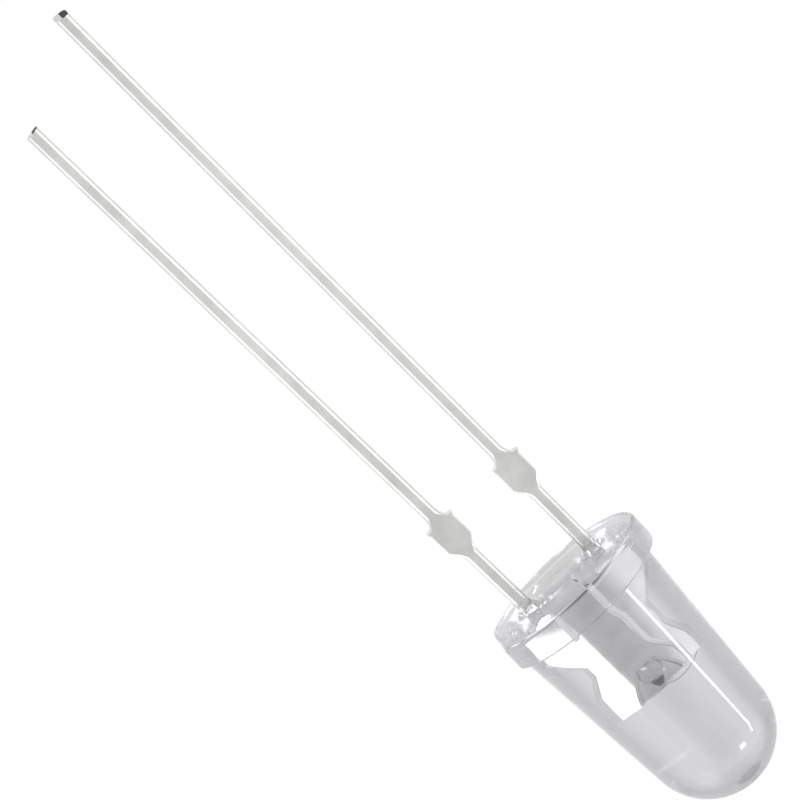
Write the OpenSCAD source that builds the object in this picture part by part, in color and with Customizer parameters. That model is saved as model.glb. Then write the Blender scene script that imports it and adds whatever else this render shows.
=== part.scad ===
// Through hole LED: a clear cast case round two stamped lead frames, with its chip and bond wire.
// Units are millimetres. Z runs along the case towards the dome, and Z = 0 is the flat base face.
// X runs along the row of leads: the cathode and the flat on the flange are on the +X side.

/* [Case] */
// Diameter of the barrel where it leaves the flange
body_d = 4.88; // [4.7:0.02:5.1]
// Radius of the dome, which the tapered barrel runs into
dome_r = 2.03; // [1.9:0.01:2.2]
// Height of the case from the base face to the tip of the dome
case_h = 8.34; // [7.8:0.02:9.4]
// Diameter of the flange
flange_d = 5.58; // [5.5:0.02:6.0]
// Thickness of the flange
flange_t = 0.9; // [0.7:0.05:1.2]
// Distance from the axis to the flat that marks the cathode
flat_x = 2.6; // [2.56:0.02:2.68]
// Rounding of the flange's two rims
rim_r = 0.1; // [0.05:0.01:0.14]
// Rounding of the base edge along the flat
flat_edge_r = 0.22; // [0.1:0.01:0.4]
// Radius on the base face that the resin round each lead spreads to
collar_r = 0.58; // [0.5:0.02:0.7]
// Height that the resin climbs along each lead
collar_h = 0.42; // [0.2:0.02:0.6]

/* [Leads] */
// Distance between the two leads at the base face
pitch = 2.54; // [2.44:0.02:2.64]
// Width of the leads
lead_w = 0.44; // [0.4:0.01:0.5]
// Thickness of the sheet that both frames are stamped from
sheet_t = 0.44; // [0.4:0.01:0.5]
// Length of the cathode lead below the base face
cathode_len = 19.95; // [12:0.05:26]
// Length of the anode lead below the base face
anode_len = 21.8; // [14:0.05:28]
// Angle in degrees by which the cathode lead leans towards +X
cathode_lean = 2; // [0:0.5:3]
// Angle in degrees by which the anode lead leans towards +X
anode_lean = 1; // [0:0.5:3]

/* [Stopper tabs] */
// Distance from the base face to the full width of the tab
tab_z = 2.82; // [2:0.02:4]
// Width of the tab
tab_w = 0.93; // [0.8:0.01:1.1]
// Length of the tab's full width
tab_len = 0.9; // [0.6:0.02:1.2]
// Length of the taper on the side of the case
tab_taper = 0.38; // [0.2:0.02:0.5]
// Length of the hollow curve on the side of the free end
tab_sweep = 0.42; // [0.2:0.02:0.6]
// How far the tab's two pointed ears stand out
ear_w = 0.05; // [0.02:0.01:0.08]

/* [Frames inside the case] */
// Height of the frames' feet above the base face
foot_z = 0.38; // [0.3:0.02:0.5]
// Height of the cathode's outer shoulder, straight above its lead
shoulder_z = 1.3; // [1.1:0.02:1.4]
// Height of the anode's outer shoulder, straight above its lead
post_shoulder_z = 1.1; // [1:0.02:1.2]
// Height over which both shoulders slope inwards
shoulder_rise = 0.8; // [0.6:0.02:0.9]
// Gap between the two frames
frame_gap = 0.12; // [0.1:0.01:0.16]
// Distance from the axis to the cathode foot's edge beside the gap
foot_x = 0.24; // [0.2:0.01:0.3]
// Distance from the axis to the anvil neck's edge beside the gap
neck_x = 0.33; // [0.31:0.01:0.38]
// Height at which the gap starts to slope from the foot to the neck
gap_bend_z = 1.25; // [1.15:0.01:1.35]
// Height over which the gap slopes from the foot to the neck
gap_bend_h = 0.42; // [0.3:0.02:0.6]
// Distance from the axis to the anvil neck's outer edge
neck_out_x = 0.86; // [0.8:0.01:0.95]
// Height at which the anvil starts to flare on its outer side
flare_z = 2.45; // [2.35:0.01:2.6]
// Height at which the anvil starts to flare on the side of the gap
gap_flare_z = 2.72; // [2.6:0.01:2.8]
// Height over which the anvil and the post flare
flare_h = 0.7; // [0.6:0.02:0.8]
// Distance from the axis to the anvil head's edge beside the gap
head_x = 0.68; // [0.66:0.01:0.72]
// Distance from the axis to the anvil head's outer edge
head_out_x = 1.12; // [1.05:0.01:1.25]
// Height of the top of both frames above the base face
head_z = 4.05; // [3.9:0.05:4.4]
// Width of the anode post
post_w = 0.42; // [0.34:0.01:0.44]
// Width of the anode post's head
post_head_w = 0.3; // [0.26:0.01:0.36]
// Width of the slot in the cathode foot
slot_w = 0.13; // [0.06:0.01:0.16]
// Distance from the axis to the slot
slot_x = 0.53; // [0.5:0.01:0.6]

/* [Reflector cup] */
// Radius of the cup's mouth
cup_mouth_r = 0.54; // [0.5:0.01:0.56]
// Radius of the cup's floor
cup_floor_r = 0.3; // [0.28:0.01:0.34]
// Depth of the cup
cup_depth = 0.42; // [0.3:0.01:0.5]
// Outer radius of the coined cup at its rim
cup_out_r = 0.61; // [0.58:0.01:0.65]
// Outer radius of the coined cup at its foot
cup_foot_r = 0.28; // [0.24:0.01:0.3]
// Height of the bulge that the cup makes in the sheet
cup_bulge_h = 0.85; // [0.75:0.01:1]

/* [Chip and wire] */
// Side of the square chip
chip_w = 0.3; // [0.24:0.01:0.34]
// Height of the chip
chip_h = 0.14; // [0.1:0.01:0.18]
// Thickness of the adhesive below the chip
adhesive_t = 0.02; // [0.01:0.005:0.03]
// Radius of the spot of adhesive
adhesive_r = 0.25; // [0.24:0.005:0.27]
// Diameter of the bond wire
wire_d = 0.03; // [0.025:0.005:0.04]
// Height of the wire's loop above the frames
loop_h = 0.2; // [0.14:0.02:0.4]

/* [Hidden] */
$fn = 96;
body_r = body_d / 2;
flange_r = flange_d / 2;
dome_z = case_h - dome_r;
// angle between the barrel's wall and the axis, so that the wall is tangent to the dome
wall_angle = acos(dome_r / norm([body_r, dome_z - flange_t])) - atan2(dome_z - flange_t, body_r);
wall_top = [dome_r * cos(wall_angle), dome_z + dome_r * sin(wall_angle)];
lead_x = pitch / 2;
lead_corner_r = norm([lead_w, sheet_t]) / 2;
collar_skin = 0.005;
collar_top_r = lead_corner_r + collar_h * tan(max(cathode_lean, anode_lean)) + collar_skin;
collar_root = 0.1;
cut_margin = 1;
ear_len = 0.1;
tab_corner = 0.1;
// share of the step from lead to tab that the hollow curve takes, below the ears
sweep_share = 0.7;
slot_top = gap_bend_z;
cup_floor_z = head_z - cup_depth;
chip_z = cup_floor_z + adhesive_t;
chip_top = chip_z + chip_h;
post_x = neck_x + frame_gap;
post_head_x = head_x + frame_gap;
ball_r = 1.4 * wire_d;
ball_h = 0.7 * wire_d;
stitch_h = 0.6 * wire_d;
wire_sides = 8;
wire_rings = 24;
// how strongly the wire climbs from its ball, and how far out and up it is drawn before the post
wire_climb = 1.35;
wire_reach = 0.7;
wire_lift = 0.35;
wire_from = [0, chip_top + ball_h / 2];
wire_to = [-(post_head_x + post_head_w / 2), head_z + stitch_h / 2];
loop_top = head_z + loop_h;

// One side of a lead's outline, as [offset from its centre line, distance below the base face].
// The tab has cut corners towards the case, and pointed ears and a hollow curve towards the free end.
function lead_edge(len) = concat(
    [[lead_w / 2, 0],
     [lead_w / 2, tab_z - tab_taper],
     [tab_w / 2 - tab_corner, tab_z],
     [tab_w / 2, tab_z + tab_corner],
     [tab_w / 2, tab_z + tab_len - ear_len],
     [tab_w / 2 + ear_w, tab_z + tab_len]],
    [for (a = [0 : 15 : 90])
        [lead_w / 2 + (tab_w - lead_w) / 2 * sweep_share * (1 - sin(a)),
         tab_z + tab_len + tab_sweep * (1 - cos(a))]],
    [[lead_w / 2, len]]);

// A point of a lead in the frame of the part: the lead leans about its centre on the base face
function leaned(p, x, lean) = p[1] == 0
    ? [x + p[0], 0]
    : [x + p[0] * cos(lean) + p[1] * sin(lean), p[0] * sin(lean) - p[1] * cos(lean)];

function reversed(list) = [for (i = [len(list) - 1 : -1 : 0]) list[i]];

// The lead's outline from the base face down one side and up the other, starting on the +X side
function lead_outline(x, len, lean) = let (edge = lead_edge(len)) concat(
    [for (p = edge) leaned(p, x, lean)],
    [for (p = reversed(edge)) leaned([-p[0], p[1]], x, lean)]);

function bezier(a, b, c, d, t) =
    a * pow(1 - t, 3) + 3 * b * pow(1 - t, 2) * t + 3 * c * (1 - t) * pow(t, 2) + d * pow(t, 3);

// The bond wire's route in the XZ plane: straight up out of the ball, over, and down to the post
function wire_point(t) = bezier(
    wire_from,
    [wire_from[0], wire_from[1] + wire_climb * (loop_top - wire_from[1])],
    [wire_reach * wire_to[0], loop_top + wire_lift * loop_h],
    wire_to, t);

function unit(v) = v / norm(v);

// A ring of the wire at a share t of its route, square to the route
function wire_ring(t) = let (
    step = 0.001,
    p = wire_point(t),
    along = unit(wire_point(min(1, t + step)) - wire_point(max(0, t - step))),
    side = [along[1], -along[0]])
    [for (i = [0 : wire_sides - 1]) let (
        a = 360 * i / wire_sides,
        out = wire_d / 2 * cos(a),
        deep = wire_d / 2 * sin(a))
        [p[0] + side[0] * out, deep, p[1] + side[1] * out]];

// Extrudes a flat outline in XZ to the sheet's thickness, centred on the XZ plane
module stamped(outline) {
    rotate([90, 0, 0]) linear_extrude(sheet_t, center = true) polygon(outline);
}

// The corner piece that a rounding of this radius takes off an outside edge
module corner_waste(radius) {
    difference() {
        translate([0, -cut_margin]) square([radius + cut_margin, radius + cut_margin]);
        translate([0, radius]) circle(radius);
        translate([-cut_margin, radius]) square([radius + 2 * cut_margin, cut_margin]);
    }
}

// Half section of the case: flange with rounded rims, tapered barrel and dome
module case_section() {
    difference() {
        square([flange_r, flange_t]);
        translate([flange_r - rim_r, 0]) corner_waste(rim_r);
        translate([flange_r - rim_r, flange_t]) mirror([0, 1]) corner_waste(rim_r);
    }
    polygon([[0, 0], [body_r - rim_r, 0], [body_r, flange_t], wall_top, [0, wall_top[1]]]);
    intersection() {
        translate([0, dome_z]) circle(dome_r);
        translate([0, wall_top[1]]) square([dome_r, dome_r]);
    }
}

// The hollow curve of resin round a lead, below the base face, with a root inside the case
module collar() {
    rotate_extrude() polygon(concat(
        [[0, collar_root], [0, -collar_h]],
        [for (a = [0 : 15 : 90])
            [collar_r - (collar_r - collar_top_r) * cos(a), -collar_h * (1 - sin(a))]],
        [[collar_r, collar_root]]));
}

// The outside of the case, as it comes out of the mould
module case_solid() {
    difference() {
        rotate_extrude() case_section();
        translate([flat_x, -flange_d / 2, -cut_margin])
            cube([flange_d, flange_d, flange_t + 2 * cut_margin]);
        translate([flat_x - flat_edge_r, 0, 0]) rotate([90, 0, 0])
            linear_extrude(flange_d, center = true) corner_waste(flat_edge_r);
    }
    for (x = [-lead_x, lead_x]) translate([x, 0, 0]) collar();
}

module cathode_metal() {
    difference() {
        union() {
            stamped(concat(
                lead_outline(lead_x, cathode_len, cathode_lean),
                [[lead_x - lead_w / 2, foot_z],
                 [slot_x + slot_w, foot_z],
                 [slot_x + slot_w, slot_top],
                 [slot_x, slot_top],
                 [slot_x, foot_z],
                 [-foot_x, foot_z],
                 [-foot_x, gap_bend_z],
                 [-neck_x, gap_bend_z + gap_bend_h],
                 [-neck_x, gap_flare_z],
                 [-head_x, gap_flare_z + flare_h],
                 [-head_x, head_z],
                 [head_out_x, head_z],
                 [head_out_x, flare_z + flare_h],
                 [neck_out_x, flare_z],
                 [neck_out_x, shoulder_z + shoulder_rise],
                 [lead_x + lead_w / 2, shoulder_z]]));
            translate([0, 0, head_z - cup_bulge_h])
                cylinder(cup_bulge_h, cup_foot_r, cup_out_r);
        }
        cup_hollow();
    }
}

// The hollow of the cup, run on past its mouth at the same slope
module cup_hollow() {
    over = 0.1;
    slope = (cup_mouth_r - cup_floor_r) / cup_depth;
    translate([0, 0, cup_floor_z])
        cylinder(cup_depth + over, cup_floor_r, cup_mouth_r + slope * over);
}

module anode_metal() {
    stamped(concat(
        lead_outline(-lead_x, anode_len, anode_lean),
        [[-(lead_x + lead_w / 2), post_shoulder_z],
         [-(post_x + post_w), post_shoulder_z + shoulder_rise],
         [-(post_x + post_w), gap_flare_z],
         [-(post_head_x + post_head_w), gap_flare_z + flare_h],
         [-(post_head_x + post_head_w), head_z],
         [-post_head_x, head_z],
         [-post_head_x, gap_flare_z + flare_h],
         [-post_x, gap_flare_z],
         [-post_x, gap_bend_z + gap_bend_h],
         [-(foot_x + frame_gap), gap_bend_z],
         [-(foot_x + frame_gap), foot_z],
         [-(lead_x - lead_w / 2), foot_z]]));
}

module chip_solid() {
    translate([-chip_w / 2, -chip_w / 2, chip_z]) cube([chip_w, chip_w, chip_h]);
}

module adhesive_solid() {
    translate([0, 0, cup_floor_z]) cylinder(adhesive_t, r = adhesive_r);
}

// The gold ball on the chip, the looped wire, and the flattened stitch on the post
module wire_solid() {
    rings = [for (i = [0 : wire_rings]) wire_ring(i / wire_rings)];
    last = wire_rings * wire_sides;
    polyhedron(
        points = [for (ring = rings) for (p = ring) p],
        faces = concat(
            [[for (i = [0 : wire_sides - 1]) i]],
            [for (k = [0 : wire_rings - 1]) for (i = [0 : wire_sides - 1])
                let (j = (i + 1) % wire_sides, n = k * wire_sides)
                [n + i, n + wire_sides + i, n + wire_sides + j, n + j]],
            [[for (i = [wire_sides - 1 : -1 : 0]) last + i]]));
    translate([0, 0, chip_top]) cylinder(ball_h, r = ball_r, $fn = wire_sides);
    translate([wire_to[0], 0, head_z]) cylinder(stitch_h, r = ball_r, $fn = wire_sides);
}

module lens_case() {
    color([0.82, 0.83, 0.88, 0.4]) difference() {
        case_solid();
        cathode_metal();
        anode_metal();
        chip_solid();
        adhesive_solid();
        wire_solid();
    }
}

module cathode_frame() {
    color([0.75, 0.75, 0.74]) cathode_metal();
}

module anode_frame() {
    color([0.78, 0.77, 0.72]) anode_metal();
}

module light_chip() {
    color([0.28, 0.29, 0.33]) chip_solid();
}

module chip_adhesive() {
    color([0.62, 0.62, 0.6]) adhesive_solid();
}

module bond_wire() {
    color([0.85, 0.68, 0.3]) wire_solid();
}

lens_case();
cathode_frame();
anode_frame();
light_chip();
chip_adhesive();
bond_wire();
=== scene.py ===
import math

import bmesh
import bpy
from mathutils import Matrix, Quaternion, Vector


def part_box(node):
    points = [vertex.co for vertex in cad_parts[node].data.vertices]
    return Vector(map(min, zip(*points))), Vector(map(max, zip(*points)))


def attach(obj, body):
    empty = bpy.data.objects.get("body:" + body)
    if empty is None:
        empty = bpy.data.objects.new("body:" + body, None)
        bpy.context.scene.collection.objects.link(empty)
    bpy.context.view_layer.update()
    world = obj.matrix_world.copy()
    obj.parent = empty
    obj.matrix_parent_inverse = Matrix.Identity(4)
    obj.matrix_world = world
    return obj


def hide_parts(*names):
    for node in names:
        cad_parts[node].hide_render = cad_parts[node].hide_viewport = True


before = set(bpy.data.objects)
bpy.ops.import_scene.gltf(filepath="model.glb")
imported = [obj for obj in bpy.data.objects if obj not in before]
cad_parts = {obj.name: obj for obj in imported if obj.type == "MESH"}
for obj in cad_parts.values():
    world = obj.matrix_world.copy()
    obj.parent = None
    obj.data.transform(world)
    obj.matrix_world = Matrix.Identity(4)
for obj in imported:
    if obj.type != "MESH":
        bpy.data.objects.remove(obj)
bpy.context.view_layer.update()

# The case: one piece of water-clear epoxy, cast upside down in a polished cup with the two frames hung
# in it. The flange and the dome come from the mould. Before it set, the resin crept a little way up each
# lead, which left a small hollow-sided collar round it.
MM = 0.001
WELD = 1e-7
CUT_SNAP = 1e-8
FLANGE_T = 0.9 * MM
BARREL_R = 2.44 * MM
DOME_R = 2.03 * MM
RIM_R = 0.1 * MM
ROOT_R = 0.03 * MM
FLAT_EDGE_R = 0.22 * MM
FLAT_EDGE_STEP = 9
CASE_SIDES = 192
LEAD_PITCH = 2.54 * MM
LEAD_HALF = 0.22 * MM
CATHODE_LEAN = math.radians(2.0)
ANODE_LEAN = math.radians(1.0)
COLLAR_R = 0.57 * MM
COLLAR_GAP = 0.002 * MM
COLLAR_WAVE = 0.1
COLLAR_STEPS = 8
COLLAR_SIDES = 48
EPOXY_BOUNCES = 48
case_low, case_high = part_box("lens_case")
flange_r = case_high.y
collar_h = -case_low.z


def arc(centre, radius, start, end, steps):
    """Points (r, z) on an arc between two angles in degrees."""
    turns = [math.radians(start + (end - start) * i / steps) for i in range(steps + 1)]
    return [(centre[0] + radius * math.cos(t), centre[1] + radius * math.sin(t)) for t in turns]


def turned(bm, profile, steps):
    """Spins a half section of (r, z) points about the Z axis into a closed skin."""
    row = [bm.verts.new((r, 0, z)) for r, z in profile]
    edges = [bm.edges.new(pair) for pair in zip(row, row[1:])]
    bmesh.ops.spin(bm, geom=row + edges, cent=(0, 0, 0), axis=(0, 0, 1), angle=math.tau,
                   steps=steps, use_merge=True)
    bmesh.ops.remove_doubles(bm, verts=bm.verts, dist=CUT_SNAP)
    bmesh.ops.recalc_face_normals(bm, faces=bm.faces)


def ring_of(bm, points):
    """A closed loop of edges through the points."""
    verts = [bm.verts.new(p) for p in points]
    return [bm.edges.new((verts[i - 1], verts[i])) for i in range(len(verts))]


def cut_edges(cut):
    """The edges that a cut has left on its plane."""
    return [e for e in cut["geom_cut"] if isinstance(e, bmesh.types.BMEdge)]


def base_faces(bm):
    """The faces of the flat base."""
    return [f for f in bm.faces if f.normal.z < -0.999 and f.calc_center_median().z < WELD]


def piece_from(bm, name, sharp=30.0):
    """A new object from the mesh, smooth but for its sharp edges."""
    mesh = bpy.data.meshes.new(name)
    bm.to_mesh(mesh)
    bm.free()
    mesh.set_sharp_from_angle(angle=math.radians(sharp))
    piece = bpy.data.objects.new(name, mesh)
    bpy.context.scene.collection.objects.link(piece)
    return piece


def new_finish(name, metallic=0.0, roughness=0.5):
    """A new material, with its nodes, its links and its shader."""
    material = bpy.data.materials.new(name)
    material.use_nodes = True
    tree = material.node_tree
    shader = tree.nodes["Principled BSDF"]
    shader.inputs["Metallic"].default_value = metallic
    shader.inputs["Roughness"].default_value = roughness
    return material, tree.nodes, tree.links, shader


# the wall slopes so that it meets the dome without a bend
dome_z = case_high.z - DOME_R
rise = dome_z - FLANGE_T
wall_tilt = math.degrees(math.acos(DOME_R / math.hypot(BARREL_R, rise)) - math.atan2(rise, BARREL_R))
profile = [(0, 0)]
profile += arc((flange_r - RIM_R, RIM_R), RIM_R, -90, 0, 6)
profile += arc((flange_r - RIM_R, FLANGE_T - RIM_R), RIM_R, 0, 90, 6)
profile += arc((BARREL_R + ROOT_R, FLANGE_T + ROOT_R), ROOT_R, 270, 180 + wall_tilt, 3)
profile += arc((0, dome_z), DOME_R, wall_tilt, 90, 48)
profile[-1] = (0, case_high.z)
bm = bmesh.new()
turned(bm, profile, CASE_SIDES)
bmesh.ops.dissolve_faces(bm, faces=base_faces(bm))

# the flat, and the rounding of its lower edge as a fan of narrow cuts
edge_centre = Vector((case_high.x - FLAT_EDGE_R, 0, FLAT_EDGE_R))
for turn in range(0, 90, FLAT_EDGE_STEP):
    normal = Vector((math.cos(math.radians(turn)), 0, -math.sin(math.radians(turn))))
    cut = bmesh.ops.bisect_plane(bm, geom=bm.verts[:] + bm.edges[:] + bm.faces[:],
                                 plane_co=edge_centre + normal * FLAT_EDGE_R, plane_no=normal,
                                 clear_outer=True, dist=CUT_SNAP)
    bmesh.ops.edgeloop_fill(bm, edges=cut_edges(cut))

# the collars: each goes from a circle on the base to the square of its lead
base = base_faces(bm)
rim = base[0].edges[:]
bmesh.ops.delete(bm, geom=base, context="FACES_ONLY")
mouths = []
for side, lean in ((-1, ANODE_LEAN), (1, CATHODE_LEAN)):
    loops = []
    for step in range(COLLAR_STEPS + 1):
        turn = math.radians(90 - 90 * step / COLLAR_STEPS)
        z = -collar_h * (1 - math.sin(turn))
        middle = side * LEAD_PITCH / 2 - z * math.tan(lean)
        half = COLLAR_R - (COLLAR_R - LEAD_HALF - COLLAR_GAP) * math.cos(turn)
        power = 2 + 4 * math.cos(turn) ** 2
        points = []
        for i in range(COLLAR_SIDES):
            a = math.tau * i / COLLAR_SIDES
            reach = half / (abs(math.cos(a)) ** power + abs(math.sin(a)) ** power) ** (1 / power)
            reach *= 1 + COLLAR_WAVE * math.sin(turn) * math.cos(turn) * math.sin(2 * a + side)
            points.append((middle + reach * math.cos(a), reach * math.sin(a), z))
        loops.append(ring_of(bm, points))
    for upper, lower in zip(loops, loops[1:]):
        bmesh.ops.bridge_loops(bm, edges=upper + lower)
    bmesh.ops.edgeloop_fill(bm, edges=loops[-1])
    mouths += loops[0]
bmesh.ops.triangle_fill(bm, edges=rim + mouths, use_beauty=True, normal=(0, 0, -1))
bmesh.ops.recalc_face_normals(bm, faces=bm.faces)
for face in bm.faces:
    on_base = abs(face.normal.z) > 0.9999 and abs(face.calc_center_median().z) < WELD
    on_flat = face.normal.x > 0.9999
    face.smooth = not (on_base or on_flat)
case = piece_from(bm, "clear_case")

epoxy, nodes, links, resin = new_finish("water_clear_epoxy", roughness=0.0)
resin.inputs["IOR"].default_value = 1.53
resin.inputs["Transmission Weight"].default_value = 1.0
coords = nodes.new("ShaderNodeTexCoord")
ripple = nodes.new("ShaderNodeTexNoise")
ripple.inputs["Scale"].default_value = 900
ripple.inputs["Detail"].default_value = 2
swell = nodes.new("ShaderNodeBump")
swell.inputs["Strength"].default_value = 0.03
swell.inputs["Distance"].default_value = 0.02 * MM
links.new(coords.outputs["Object"], ripple.inputs["Vector"])
links.new(ripple.outputs["Fac"], swell.inputs["Height"])
links.new(swell.outputs["Normal"], resin.inputs["Normal"])

# a faint smoke in the resin, which the thin collars are free of
place = nodes.new("ShaderNodeSeparateXYZ")
links.new(coords.outputs["Object"], place.inputs["Vector"])
depth = nodes.new("ShaderNodeMapRange")
depth.inputs["From Min"].default_value = -0.25 * MM
depth.inputs["From Max"].default_value = -0.02 * MM
links.new(place.outputs["Z"], depth.inputs["Value"])
smoke = nodes.new("ShaderNodeValToRGB")
smoke.color_ramp.elements[0].color = (1, 1, 1, 1)
smoke.color_ramp.elements[1].color = (0.61, 0.605, 0.64, 1)
links.new(depth.outputs["Result"], smoke.inputs["Fac"])
links.new(smoke.outputs["Color"], resin.inputs["Base Color"])
case.data.materials.append(epoxy)
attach(case, "root")
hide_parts("lens_case")

# light is turned back many times inside the flange before it leaves
bpy.context.scene.cycles.max_bounces = EPOXY_BOUNCES
bpy.context.scene.cycles.glossy_bounces = EPOXY_BOUNCES
bpy.context.scene.cycles.transmission_bounces = EPOXY_BOUNCES

# The cathode frame: stamped from steel sheet with its lead, stopper tab, foot and anvil in one piece,
# coined at the top into a cup for the chip, then plated with tin. The lead is sheared to length and
# leans a little where it leaves the case.
SHEET_HALF = 0.22 * MM
EDGE_R = 0.115 * MM
PUNCHED_EDGE_R = 0.025 * MM
EDGE_STEPS = 5
TAB_Z = 2.82 * MM
TAB_LEN = 0.9 * MM
TAB_HALF = 0.455 * MM
TAB_TAPER = 0.38 * MM
TAB_RUN_OUT = 0.36 * MM
TAB_CORNER = 0.08 * MM
EAR_LEN = 0.08 * MM
CATHODE_EARS = (0.05 * MM, 0.05 * MM)
FRAME_EDGE_R = 0.02 * MM
FOOT_Z = 0.38 * MM
FOOT_STEP = 0.02 * MM
FRAME_GAP = 0.12 * MM
FOOT_X = 0.24 * MM
NECK_X = 0.33 * MM
NECK_OUT_X = 0.86 * MM
GAP_BEND_Z = 1.25 * MM
GAP_BEND_TOP = 1.67 * MM
GAP_FLARE_Z = 2.72 * MM
FLARE_Z = 2.45 * MM
FLARE_H = 0.7 * MM
SHOULDER_Z = 1.3 * MM
SHOULDER_RISE = 0.8 * MM
HEAD_X = 0.68 * MM
HEAD_OUT_X = 1.12 * MM
SLOT_X = 0.595 * MM
SLOT_W = 0.13 * MM
SLOT_TOOL_DEEP = 1.0 * MM
cathode_low, cathode_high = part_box("cathode_frame")
head_z = cathode_high.z
lead_x = LEAD_PITCH / 2
lead_out = lead_x + LEAD_HALF


def lead_rows(x, length, ears):
    """Rows (z, left, right, edge radius) of a lead from its cut end up to the base face, tab included.

    The tab is punched, so its edges are sharper than the lead's. Its ears point away from the lead."""
    tab_end = TAB_Z + TAB_LEN
    tab = TAB_HALF - LEAD_HALF
    rows = [(length, LEAD_HALF, LEAD_HALF, EDGE_R),
            (tab_end + TAB_RUN_OUT, LEAD_HALF, LEAD_HALF, EDGE_R),
            (tab_end + 0.5 * TAB_RUN_OUT, LEAD_HALF + 0.16 * tab, LEAD_HALF + 0.13 * tab, 0.4 * EDGE_R),
            (tab_end + 0.12 * TAB_RUN_OUT, LEAD_HALF + 0.5 * tab, LEAD_HALF + 0.4 * tab, PUNCHED_EDGE_R),
            (tab_end, TAB_HALF + ears[0], TAB_HALF + ears[1], PUNCHED_EDGE_R),
            (tab_end - EAR_LEN, TAB_HALF, TAB_HALF, PUNCHED_EDGE_R),
            (TAB_Z + TAB_CORNER, TAB_HALF, TAB_HALF, PUNCHED_EDGE_R),
            (TAB_Z, LEAD_HALF + 0.7 * tab, LEAD_HALF + 0.7 * tab, PUNCHED_EDGE_R),
            (TAB_Z - 0.4 * TAB_TAPER, LEAD_HALF + 0.25 * tab, LEAD_HALF + 0.25 * tab, 0.4 * EDGE_R),
            (TAB_Z - TAB_TAPER, LEAD_HALF, LEAD_HALF, EDGE_R),
            (0, LEAD_HALF, LEAD_HALF, EDGE_R)]
    return [(-down, x - left, x + right, radius) for down, left, right, radius in rows]


def frame_rows(left_edge, right_edge):
    """Rows of a frame inside the case, one at each bend (z, x) of its left or right edge."""
    def x_of(edge, z):
        for (z0, x0), (z1, x1) in zip(edge, edge[1:]):
            if z <= z1:
                return x0 + (x1 - x0) * (z - z0) / (z1 - z0)
        return edge[-1][1]
    heights = sorted({z for z, x in left_edge + right_edge if z > 0})
    return [(z, x_of(left_edge, z), x_of(right_edge, z), FRAME_EDGE_R) for z in heights]


def sheet_strip(bm, rows, pivot, lean):
    """Extrudes a stamped strip from row to row, with rounded edges. Below the base face it leans."""
    verts = []
    for z, left, right, radius in rows:
        points = []
        for x, y, start in ((right, SHEET_HALF, 0), (left, SHEET_HALF, 90),
                            (left, -SHEET_HALF, 180), (right, -SHEET_HALF, 270)):
            cx = x - math.copysign(radius, x - (left + right) / 2)
            cy = y - math.copysign(radius, y)
            points += arc((cx, cy), radius, start, start + 90, EDGE_STEPS)
        if z < 0:
            points = [(pivot + (px - pivot) * math.cos(lean) - z * math.sin(lean), py,
                       (px - pivot) * math.sin(lean) + z * math.cos(lean)) for px, py in points]
        else:
            points = [(px, py, z) for px, py in points]
        if not verts:
            verts = [bm.verts.new(point) for point in points]
            edges = [bm.edges.new((verts[i - 1], verts[i])) for i in range(len(verts))]
            bmesh.ops.edgeloop_fill(bm, edges=edges)
            continue
        grown = bmesh.ops.extrude_edge_only(bm, edges=edges)["geom"]
        fresh = {tuple(v.co): v for v in grown if isinstance(v, bmesh.types.BMVert)}
        verts = [fresh[tuple(v.co)] for v in verts]
        edges = [e for e in grown if isinstance(e, bmesh.types.BMEdge) and all(v in verts for v in e.verts)]
        for vert, point in zip(verts, points):
            vert.co = point
    bmesh.ops.edgeloop_fill(bm, edges=edges)
    bmesh.ops.recalc_face_normals(bm, faces=bm.faces)


def settled_mesh(piece):
    """A new mesh of the piece as its modifiers leave it."""
    return bpy.data.meshes.new_from_object(piece.evaluated_get(bpy.context.evaluated_depsgraph_get()))


def combine(piece, tool, how):
    """Joins a tool shape to the piece, or cuts it out, and drops the tool."""
    step = piece.modifiers.new("combine", "BOOLEAN")
    step.operation = how
    step.solver = "EXACT"
    step.object = tool
    made = settled_mesh(piece)
    piece.modifiers.clear()
    piece.data = made
    bpy.data.objects.remove(tool)


def shear_end(piece, low, across, deep):
    """Cuts the lead's end at two slants in degrees.

    The punch smears tin over one half of the cut. The torn half takes the second material."""
    bm = bmesh.new()
    bm.from_mesh(piece.data)
    normal = Vector((-math.tan(math.radians(across)), -math.tan(math.radians(deep)), -1)).normalized()
    lowest = min([v.co for v in bm.verts if v.co.z < low + LEAD_HALF], key=normal.dot)
    cut = bmesh.ops.bisect_plane(bm, geom=bm.verts[:] + bm.edges[:] + bm.faces[:], plane_no=normal,
                                 plane_co=lowest, clear_outer=True, dist=CUT_SNAP)
    face = bmesh.ops.edgeloop_fill(bm, edges=cut_edges(cut))["faces"][0]
    middle = face.calc_center_median()
    halves = bmesh.ops.bisect_plane(bm, geom=[face] + face.edges[:] + face.verts[:], plane_co=middle,
                                    plane_no=(1, 0, 0), dist=CUT_SNAP)
    for half in halves["geom"]:
        if isinstance(half, bmesh.types.BMFace) and half.calc_center_median().x < middle.x:
            half.material_index = 1
    bm.to_mesh(piece.data)
    bm.free()


def finish_metal(piece, materials, sharp=35.0):
    """Smooth faces, sharp edges by angle, and normals that follow the larger faces.

    The modifier can't weigh faces this small, so the mesh is in millimetres while it works."""
    for face in piece.data.polygons:
        face.use_smooth = True
    piece.data.transform(Matrix.Scale(1 / MM, 4))
    piece.data.set_sharp_from_angle(angle=math.radians(sharp))
    weight = piece.modifiers.new("face_weight", "WEIGHTED_NORMAL")
    weight.keep_sharp = True
    made = settled_mesh(piece)
    piece.modifiers.clear()
    piece.data = made
    piece.data.transform(Matrix.Scale(MM, 4))
    for material in materials:
        piece.data.materials.append(material)


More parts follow.
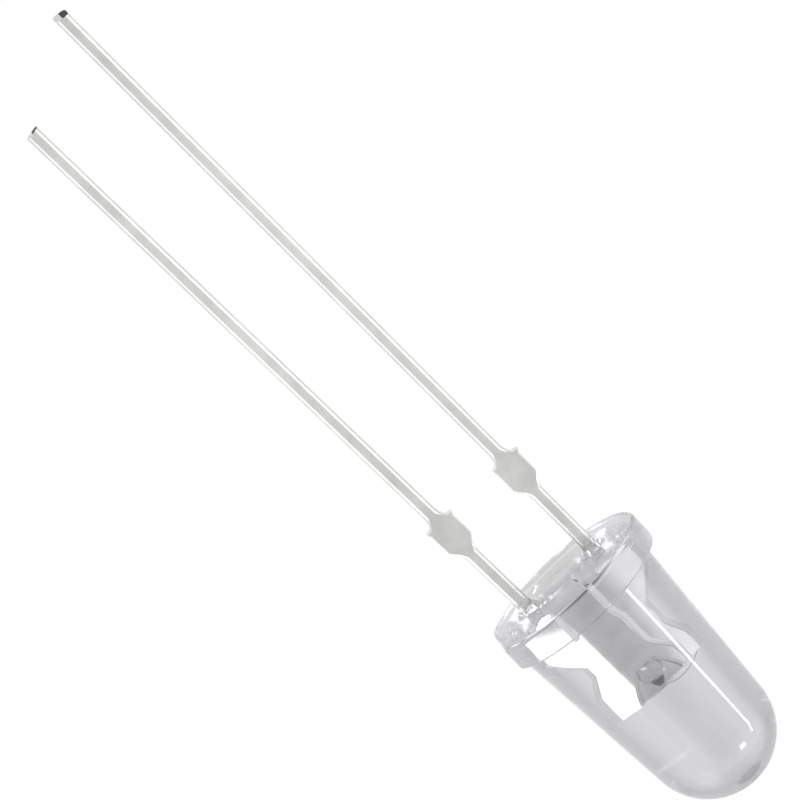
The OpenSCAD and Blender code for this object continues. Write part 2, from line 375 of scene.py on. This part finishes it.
def tin_plate(name, tone):
    """Bright tin over steel: a soft mirror, uneven along the lead, with faint drawing lines."""
    material, nodes, links, metal = new_finish(name, metallic=1.0)
    coords = nodes.new("ShaderNodeTexCoord")
    stretch = nodes.new("ShaderNodeMapping")
    stretch.inputs["Scale"].default_value = (9000, 9000, 700)
    links.new(coords.outputs["Object"], stretch.inputs["Vector"])
    streak = nodes.new("ShaderNodeTexNoise")
    streak.inputs["Scale"].default_value = 1.0
    streak.inputs["Detail"].default_value = 5
    links.new(stretch.outputs["Vector"], streak.inputs["Vector"])
    cloud = nodes.new("ShaderNodeTexNoise")
    cloud.inputs["Scale"].default_value = 1600
    cloud.inputs["Detail"].default_value = 4
    links.new(coords.outputs["Object"], cloud.inputs["Vector"])
    colour = nodes.new("ShaderNodeValToRGB")
    colour.color_ramp.elements[0].position = 0.3
    colour.color_ramp.elements[0].color = (tone * 0.86, tone * 0.85, tone * 0.84, 1)
    colour.color_ramp.elements[1].position = 0.7
    colour.color_ramp.elements[1].color = (tone, tone, tone * 0.985, 1)
    links.new(cloud.outputs["Fac"], colour.inputs["Fac"])
    links.new(colour.outputs["Color"], metal.inputs["Base Color"])
    # outside the case the tin is duller, from handling
    place = nodes.new("ShaderNodeSeparateXYZ")
    links.new(coords.outputs["Object"], place.inputs["Vector"])
    handled = nodes.new("ShaderNodeMapRange")
    handled.inputs["From Min"].default_value = -0.4 * MM
    handled.inputs["From Max"].default_value = 0.1 * MM
    handled.inputs["To Min"].default_value = 0.2
    handled.inputs["To Max"].default_value = 0.03
    links.new(place.outputs["Z"], handled.inputs["Value"])
    gloss = nodes.new("ShaderNodeMath")
    gloss.operation = "MULTIPLY_ADD"
    gloss.inputs[1].default_value = 0.08
    links.new(streak.outputs["Fac"], gloss.inputs[0])
    links.new(handled.outputs["Result"], gloss.inputs[2])
    links.new(gloss.outputs["Value"], metal.inputs["Roughness"])
    wave = nodes.new("ShaderNodeBump")
    wave.inputs["Strength"].default_value = 0.05
    wave.inputs["Distance"].default_value = 0.002 * MM
    links.new(streak.outputs["Fac"], wave.inputs["Height"])
    links.new(wave.outputs["Normal"], metal.inputs["Normal"])
    return material


def speckled(name, dark, light, scale, detail=None, stops=(0.0, 1.0), texture="ShaderNodeTexNoise",
             metallic=0.0, roughness=0.5):
    """A finish whose colour wanders between a dark and a light tone."""
    material, nodes, links, shader = new_finish(name, metallic, roughness)
    coords = nodes.new("ShaderNodeTexCoord")
    grain = nodes.new(texture)
    grain.inputs["Scale"].default_value = scale
    if detail:
        grain.inputs["Detail"].default_value = detail
    tones = nodes.new("ShaderNodeValToRGB")
    for element, stop, tone in zip(tones.color_ramp.elements, stops, (dark, light)):
        element.position = stop
        element.color = (*tone, 1)
    links.new(coords.outputs["Object"], grain.inputs["Vector"])
    links.new(grain.outputs[0], tones.inputs["Fac"])
    links.new(tones.outputs["Color"], shader.inputs["Base Color"])
    return material


tin = tin_plate("bright_tin_plate", 0.86)
# the torn half of each lead's cut end is coloured near black
near_black_cut = speckled("near_black_cut_steel", (0.012, 0.012, 0.013), (0.15, 0.145, 0.135), scale=14000,
                      detail=6, stops=(0.35, 0.75), metallic=0.5, roughness=0.55)

rows = lead_rows(lead_x, -cathode_low.z / math.cos(CATHODE_LEAN), CATHODE_EARS)
rows += frame_rows([(0, lead_x - LEAD_HALF), (FOOT_Z, lead_x - LEAD_HALF), (FOOT_Z + FOOT_STEP, -FOOT_X),
                    (GAP_BEND_Z, -FOOT_X), (GAP_BEND_TOP, -NECK_X), (GAP_FLARE_Z, -NECK_X),
                    (GAP_FLARE_Z + FLARE_H, -HEAD_X), (head_z, -HEAD_X)],
                   [(0, lead_out), (SHOULDER_Z, lead_out), (SHOULDER_Z + SHOULDER_RISE, NECK_OUT_X),
                    (FLARE_Z, NECK_OUT_X), (FLARE_Z + FLARE_H, HEAD_OUT_X), (head_z, HEAD_OUT_X)])
bm = bmesh.new()
sheet_strip(bm, rows, lead_x, CATHODE_LEAN)
cathode = piece_from(bm, "cathode_metal")

# the cup: its slightly swollen side stands out of the sheet, and its mouth has a small bevel
CUP_MOUTH_R = 0.53 * MM
CUP_FLOOR_R = 0.3 * MM
CUP_DEPTH = 0.42 * MM
CUP_OUT_R = 0.61 * MM
CUP_SIDE_R = 2.7 * MM
CUP_FOOT_TURN = -31
CUP_LIP_TURN = -12
CUP_LIP_R = 0.035 * MM
CUP_SIDES = 36
MOUTH_BEVEL = 0.01 * MM
MOUTH_SPARE = 0.02 * MM
SEAM_FILLET = 0.045 * MM
SEAM_BEND = math.radians(8)
cup_floor = head_z - CUP_DEPTH
lip = (CUP_OUT_R - CUP_LIP_R, head_z - CUP_LIP_R)
side_centre = arc(lip, CUP_LIP_R - CUP_SIDE_R, CUP_LIP_TURN, CUP_LIP_TURN, 1)[0]
cup_side = arc(side_centre, CUP_SIDE_R, CUP_FOOT_TURN, CUP_LIP_TURN, 6)
cup_lip = arc(lip, CUP_LIP_R, CUP_LIP_TURN, 90, 6)[1:]
cup_foot_z = cup_side[0][1]
bm = bmesh.new()
turned(bm, [(0, cup_foot_z)] + cup_side + cup_lip + [(0, head_z)], CUP_SIDES)
combine(cathode, piece_from(bm, "cup_outside"), "UNION")
bm = bmesh.new()
turned(bm, [(0, cup_floor), (CUP_FLOOR_R, cup_floor), (CUP_MOUTH_R, head_z - MOUTH_BEVEL),
            (CUP_MOUTH_R + MOUTH_SPARE, head_z + MOUTH_SPARE), (0, head_z + MOUTH_SPARE)], CUP_SIDES)
combine(cathode, piece_from(bm, "cup_hollow"), "DIFFERENCE")

# the slot between the lead's root and the anvil
bm = bmesh.new()
bmesh.ops.create_cube(bm, size=1.0)
bmesh.ops.scale(bm, vec=(SLOT_W, SLOT_TOOL_DEEP, GAP_BEND_Z), verts=bm.verts)
bmesh.ops.translate(bm, vec=(SLOT_X, 0, GAP_BEND_Z / 2), verts=bm.verts)
combine(cathode, piece_from(bm, "slot"), "DIFFERENCE")


def on_coined_seam(edge):
    """Whether the edge lies where the side of the cup swells out of one of the two flat faces."""
    ends = [v.co for v in edge.verts]
    return (not edge.is_convex and edge.calc_face_angle(0) > SEAM_BEND
            and all(abs(abs(co.y) - SHEET_HALF) < WELD for co in ends)
            and all(abs(co.x) < CUP_OUT_R for co in ends)
            and sum(co.z for co in ends) / 2 > cup_foot_z + WELD)


# the coining leaves a hollow fillet there
bm = bmesh.new()
bm.from_mesh(cathode.data)
bmesh.ops.remove_doubles(bm, verts=bm.verts, dist=WELD)
bmesh.ops.dissolve_limit(bm, angle_limit=math.radians(0.05), verts=bm.verts, edges=bm.edges)
bm.normal_update()
bmesh.ops.bevel(bm, geom=[e for e in bm.edges if on_coined_seam(e)], offset=SEAM_FILLET,
                offset_type="OFFSET", segments=5, profile=0.5, affect="EDGES", material=-1,
                clamp_overlap=False)
bmesh.ops.dissolve_degenerate(bm, dist=WELD, edges=bm.edges)
bm.to_mesh(cathode.data)
bm.free()
shear_end(cathode, cathode_low.z, across=-11, deep=5)
finish_metal(cathode, [tin, near_black_cut])
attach(cathode, "root")
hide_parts("cathode_frame")

# The anode frame: stamped from the same strip of steel, with the longer lead, a tab like the other one
# and a slim post. The bond wire is stitched to the top of the post.
POST_W = 0.42 * MM
POST_HEAD_W = 0.3 * MM
POST_SHOULDER_Z = 1.1 * MM
ANODE_EARS = (0.07 * MM, 0.015 * MM)
anode_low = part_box("anode_frame")[0]
post_x = -(NECK_X + FRAME_GAP)
post_foot_x = -(FOOT_X + FRAME_GAP)
post_head_x = -(HEAD_X + FRAME_GAP)
rows = lead_rows(-lead_x, -anode_low.z / math.cos(ANODE_LEAN), ANODE_EARS)
rows += frame_rows([(0, -lead_out), (POST_SHOULDER_Z, -lead_out),
                    (POST_SHOULDER_Z + SHOULDER_RISE, post_x - POST_W), (GAP_FLARE_Z, post_x - POST_W),
                    (GAP_FLARE_Z + FLARE_H, post_head_x - POST_HEAD_W), (head_z, post_head_x - POST_HEAD_W)],
                   [(0, LEAD_HALF - lead_x), (FOOT_Z, LEAD_HALF - lead_x),
                    (FOOT_Z + FOOT_STEP, post_foot_x), (GAP_BEND_Z, post_foot_x), (GAP_BEND_TOP, post_x),
                    (GAP_FLARE_Z, post_x), (GAP_FLARE_Z + FLARE_H, post_head_x), (head_z, post_head_x)])
bm = bmesh.new()
sheet_strip(bm, rows, -lead_x, ANODE_LEAN)
anode = piece_from(bm, "anode_metal")
shear_end(anode, anode_low.z, across=7, deep=20)
finish_metal(anode, [tin, near_black_cut])
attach(anode, "root")
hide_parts("anode_frame")

# The chip: a sawn block of crystal a third of a millimetre wide. It sits in the middle of the cup, and
# the gold wire is bonded to its top.
CHIP_EDGE = 0.008 * MM
chip_low, chip_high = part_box("light_chip")
bm = bmesh.new()
bmesh.ops.create_cube(bm, size=1.0)
bmesh.ops.scale(bm, vec=chip_high - chip_low, verts=bm.verts)
bmesh.ops.translate(bm, vec=(chip_low + chip_high) / 2, verts=bm.verts)
bmesh.ops.bevel(bm, geom=bm.edges[:], offset=CHIP_EDGE, offset_type="OFFSET", segments=2, profile=0.5,
                affect="EDGES", material=-1)
chip = piece_from(bm, "chip_block")
crystal = speckled("chip_crystal", (0.05, 0.055, 0.07), (0.16, 0.17, 0.2), scale=12000, roughness=0.15)
chip.data.materials.append(crystal)
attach(chip, "root")
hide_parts("light_chip")

# The adhesive: a dab of silver-filled epoxy, pressed out round the chip into a low fillet with a thin
# skirt on the cup's floor.
SKIRT_H = 0.01 * MM
SKIRT_SHARE = 0.97
TOP_SHARE = 0.85
glue_low, glue_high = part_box("chip_adhesive")
glue_r = glue_high.x
bm = bmesh.new()
turned(bm, [(0, glue_low.z), (glue_r, glue_low.z), (glue_r * SKIRT_SHARE, glue_low.z + SKIRT_H),
            (glue_r * TOP_SHARE, glue_high.z), (0, glue_high.z)], 48)
glue = piece_from(bm, "silver_adhesive")
silver = speckled("silver_filled_adhesive", (0.4, 0.4, 0.39), (0.72, 0.72, 0.7), scale=60000,
                  texture="ShaderNodeTexVoronoi", metallic=0.6)
glue.data.materials.append(silver)
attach(glue, "root")
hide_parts("chip_adhesive")

# The bond wire: gold, about a third of a hair thick. It is balled onto the chip, looped over to the
# post and pressed flat there.
WIRE_R = 0.0125 * MM
BALL_R = 0.04 * MM
BALL_H = 0.024 * MM
STITCH_H = 0.016 * MM
IN_BALL = 0.01 * MM
IN_STITCH = 0.009 * MM
STITCH_IN = 0.15 * MM
LOOP_STEEPNESS = 1.3
LOOP_REACH = 0.7
LOOP_SPARE = 0.04 * MM
wire_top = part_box("bond_wire")[1].z
ball_foot = Vector((0, 0, chip_high.z))
stitch_foot = Vector((post_head_x - STITCH_IN, 0, head_z))
wire_start = ball_foot + Vector((0, 0, IN_BALL))
wire_end = stitch_foot + Vector((0, 0, IN_STITCH))
route = bpy.data.curves.new("wire_route", "CURVE")
route.dimensions = "3D"
spline = route.splines.new("BEZIER")
spline.bezier_points.add(1)
leaves, lands = spline.bezier_points
leaves.co = wire_start
leaves.handle_left = wire_start
leaves.handle_right = wire_start + Vector((0, 0, LOOP_STEEPNESS * (wire_top - wire_start.z)))
lands.co = wire_end
lands.handle_left = Vector((LOOP_REACH * wire_end.x, 0, wire_top + LOOP_SPARE))
lands.handle_right = wire_end
spline.resolution_u = 24
route.bevel_depth = WIRE_R
route.bevel_resolution = 3
route.use_fill_caps = True
tube = bpy.data.objects.new("wire_tube", route)
bpy.context.scene.collection.objects.link(tube)
bm = bmesh.new()
bm.from_mesh(settled_mesh(tube))
bpy.data.objects.remove(tube)
bmesh.ops.remove_doubles(bm, verts=bm.verts, dist=WELD)
for foot, height in ((ball_foot, BALL_H), (stitch_foot, STITCH_H)):
    bead = bmesh.ops.create_uvsphere(bm, u_segments=20, v_segments=12, radius=BALL_R)["verts"]
    bmesh.ops.scale(bm, vec=(1, 1, height / (2 * BALL_R)), verts=bead)
    bmesh.ops.translate(bm, vec=foot + Vector((0, 0, height / 2)), verts=bead)
for face in bm.faces:
    face.smooth = True
wire = piece_from(bm, "gold_bond_wire", sharp=60)
gold = speckled("bond_gold", (0.72, 0.5, 0.2), (0.95, 0.74, 0.36), scale=30000, metallic=1.0,
                roughness=0.2)
wire.data.materials.append(gold)
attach(wire, "root")
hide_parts("bond_wire")

# The studio: a white tent over a pale floor, well below the part, which is held by its leads. The floor
# fades out and shows from above only. Three soft boxes light the part from the left, and felt discs
# stand for the dark lens and for cards round the part, which show as its only dark glints.
FLOOR_Z = -0.045
FLOOR_R = 0.6
FLOOR_FADE = (0.03, 0.3)
LAMP_REACH = 0.4
FELT_RIM = 0.75


def direction(around, above):
    """The direction at a turn round the part, from the camera's side, and a height, both in degrees."""
    a, h = math.radians(around), math.radians(above)
    return Vector((math.sin(a) * math.cos(h), -math.cos(a) * math.cos(h), math.sin(h)))


def facing(piece, around, above, reach):
    """Sets a lamp or card in a direction from the part, at a distance, and turns it to the part."""
    spot = direction(around, above) * reach
    piece.location = spot
    piece.rotation_euler = (-spot).to_track_quat("-Z", "Y").to_euler()


def soft_box(name, around, above, width, height, glow):
    """A flat soft lamp of the width and height in degrees, as bright as glow times white card."""
    lamp = bpy.data.lights.new(name, "AREA")
    lamp.shape = "RECTANGLE"
    lamp.size = 2 * LAMP_REACH * math.tan(math.radians(width / 2))
    lamp.size_y = 2 * LAMP_REACH * math.tan(math.radians(height / 2))
    lamp.energy = glow * math.pi * lamp.size * lamp.size_y
    box = bpy.data.objects.new(name, lamp)
    box.visible_camera = False
    bpy.context.scene.collection.objects.link(box)
    facing(box, around, above, LAMP_REACH)


def fade_out(material, near, far):
    """Lets a card fade out between two distances from its middle. Gives the fade and the mix."""
    nodes, links = material.node_tree.nodes, material.node_tree.links
    coords = nodes.new("ShaderNodeTexCoord")
    away = nodes.new("ShaderNodeVectorMath")
    away.operation = "LENGTH"
    links.new(coords.outputs["Object"], away.inputs[0])
    fade = nodes.new("ShaderNodeMapRange")
    fade.interpolation_type = "SMOOTHSTEP"
    fade.inputs["From Min"].default_value = near
    fade.inputs["From Max"].default_value = far
    links.new(away.outputs["Value"], fade.inputs["Value"])
    gone = nodes.new("ShaderNodeBsdfTransparent")
    mix = nodes.new("ShaderNodeMixShader")
    links.new(fade.outputs["Result"], mix.inputs["Fac"])
    links.new(nodes["Principled BSDF"].outputs["BSDF"], mix.inputs[1])
    links.new(gone.outputs["BSDF"], mix.inputs[2])
    links.new(mix.outputs["Shader"], nodes["Material Output"].inputs["Surface"])
    return fade, mix


def felt_disc(name, around, above, reach, radius, tone):
    """A round of felt with a soft rim, turned to the part. Only reflections and the resin show it."""
    bm = bmesh.new()
    bmesh.ops.create_circle(bm, cap_ends=True, segments=48, radius=radius)
    disc = piece_from(bm, name)
    disc.visible_camera = False
    facing(disc, around, above, reach)
    felt = speckled(name + "_felt", [tone * 0.8] * 3, [tone * 1.2] * 3, scale=2000, roughness=0.9)
    fade_out(felt, FELT_RIM * radius, radius)
    disc.data.materials.append(felt)


soft_box("left_box", around=-35, above=3, width=46, height=12, glow=2.0)
soft_box("strip", around=-61.5, above=32.5, width=4.5, height=13, glow=8)
soft_box("spot", around=-30, above=45.5, width=11, height=8, glow=9)

bm = bmesh.new()
bmesh.ops.create_circle(bm, cap_ends=True, segments=96, radius=FLOOR_R)
bmesh.ops.translate(bm, vec=(0, 0, FLOOR_Z), verts=bm.verts)
floor = piece_from(bm, "pale_floor")
paper = speckled("pale_floor_paper", (0.6, 0.6, 0.6), (0.65, 0.65, 0.65), scale=400, roughness=0.9)
fade, mix = fade_out(paper, *FLOOR_FADE)
nodes, links = paper.node_tree.nodes, paper.node_tree.links
underside = nodes.new("ShaderNodeNewGeometry")
hidden = nodes.new("ShaderNodeMath")
hidden.operation = "MAXIMUM"
links.new(fade.outputs["Result"], hidden.inputs[0])
links.new(underside.outputs["Backfacing"], hidden.inputs[1])
links.new(hidden.outputs["Value"], mix.inputs["Fac"])
floor.data.materials.append(paper)

felt_disc("lens_front", around=1, above=-11, reach=0.135, radius=0.014, tone=0.02)
felt_disc("floor_card", around=28, above=-65, reach=0.048, radius=0.008, tone=0.02)
felt_disc("grey_card", around=0, above=-56, reach=0.053, radius=0.024, tone=0.22)
felt_disc("top_card", around=180, above=76, reach=0.2, radius=0.05, tone=0.03)

world = bpy.data.worlds.new("white_tent")
bpy.context.scene.world = world
world.use_nodes = True
nodes, links = world.node_tree.nodes, world.node_tree.links
tent = nodes["Background"]
coords = nodes.new("ShaderNodeTexCoord")
split = nodes.new("ShaderNodeSeparateXYZ")
links.new(coords.outputs["Generated"], split.inputs["Vector"])

# the cloth's tones, from straight below (0) to straight above (1)
CLOTH_TONES = ((0.15, 0.74), (0.35, 0.74), (0.55, 0.88), (0.75, 0.75), (1.0, 1.0))
climb = nodes.new("ShaderNodeMapRange")
climb.inputs["From Min"].default_value = -1.0
links.new(split.outputs["Z"], climb.inputs["Value"])
cloth = nodes.new("ShaderNodeValToRGB")
for stop, (share, white) in enumerate(CLOTH_TONES):
    if stop > 1:
        cloth.color_ramp.elements.new(share)
    cloth.color_ramp.elements[stop].position = share
    cloth.color_ramp.elements[stop].color = (white, white, white, 1)
links.new(climb.outputs["Result"], cloth.inputs["Fac"])
tent_light = cloth.outputs["Color"]

# lighter places and a darker one in the cloth: the direction, how far from it in degrees the place is
# even and where it ends, and the light that it adds
CLOTH_PLACES = ((-62, 48, 12, 40, 1.1), (84, 38, 12, 32, 1.1), (36, 11, 8, 24, 0.65),
                (48, 32, 6, 20, 0.9), (5, 26, 8, 17, -0.4))
for around, above, near, far, extra in CLOTH_PLACES:
    toward = nodes.new("ShaderNodeVectorMath")
    toward.operation = "DOT_PRODUCT"
    toward.inputs[1].default_value = direction(around, above)
    links.new(coords.outputs["Generated"], toward.inputs[0])
    soft = nodes.new("ShaderNodeMapRange")
    soft.interpolation_type = "SMOOTHSTEP"
    soft.inputs["From Min"].default_value = math.cos(math.radians(far))
    soft.inputs["From Max"].default_value = math.cos(math.radians(near))
    soft.inputs["To Max"].default_value = extra
    links.new(toward.outputs["Value"], soft.inputs["Value"])
    added = nodes.new("ShaderNodeVectorMath")
    added.operation = "ADD"
    links.new(tent_light, added.inputs[0])
    links.new(soft.outputs["Result"], added.inputs[1])
    tent_light = added.outputs["Vector"]

# plain white to the camera, and behind the part also in glass and in mirrors
behind = nodes.new("ShaderNodeMapRange")
behind.inputs["From Min"].default_value = 0.8
behind.inputs["From Max"].default_value = 0.96
links.new(split.outputs["Y"], behind.inputs["Value"])
seen = nodes.new("ShaderNodeLightPath")
mirrored = nodes.new("ShaderNodeMath")
mirrored.operation = "ADD"
links.new(seen.outputs["Is Glossy Ray"], mirrored.inputs[0])
links.new(seen.outputs["Is Transmission Ray"], mirrored.inputs[1])
shown = nodes.new("ShaderNodeMath")
shown.operation = "MULTIPLY_ADD"
shown.use_clamp = True
links.new(mirrored.outputs["Value"], shown.inputs[0])
links.new(behind.outputs["Result"], shown.inputs[1])
links.new(seen.outputs["Is Camera Ray"], shown.inputs[2])
pick = nodes.new("ShaderNodeMix")
pick.data_type = "RGBA"
links.new(shown.outputs["Value"], pick.inputs["Factor"])
links.new(tent_light, pick.inputs[6])
pick.inputs[7].default_value = (1, 1, 1, 1)
links.new(pick.outputs[2], tent.inputs["Color"])

# The camera: it looks a little up at the base from 120 mm away, rolled so that the part lies aslant
# with its dome low on the right.
CAMERA_PLACE = Vector((-1.46, -117.64, -29.62)) * MM
CAMERA_AIM = Vector((-0.25, 0, -7.11)) * MM
CAMERA_ROLL = math.radians(135.93)
camera_data = bpy.data.cameras.new("camera")
camera_data.lens = 188.2
camera_data.sensor_width = 36
camera_data.clip_start = 0.005
camera_data.clip_end = 5
camera = bpy.data.objects.new("camera", camera_data)
bpy.context.scene.collection.objects.link(camera)
upright = (CAMERA_AIM - CAMERA_PLACE).to_track_quat("-Z", "Y")
camera.location = CAMERA_PLACE
camera.rotation_mode = "QUATERNION"
camera.rotation_quaternion = upright @ Quaternion((0, 0, 1), CAMERA_ROLL)
bpy.context.scene.camera = camera
bpy.context.scene.view_settings.view_transform = "Standard"
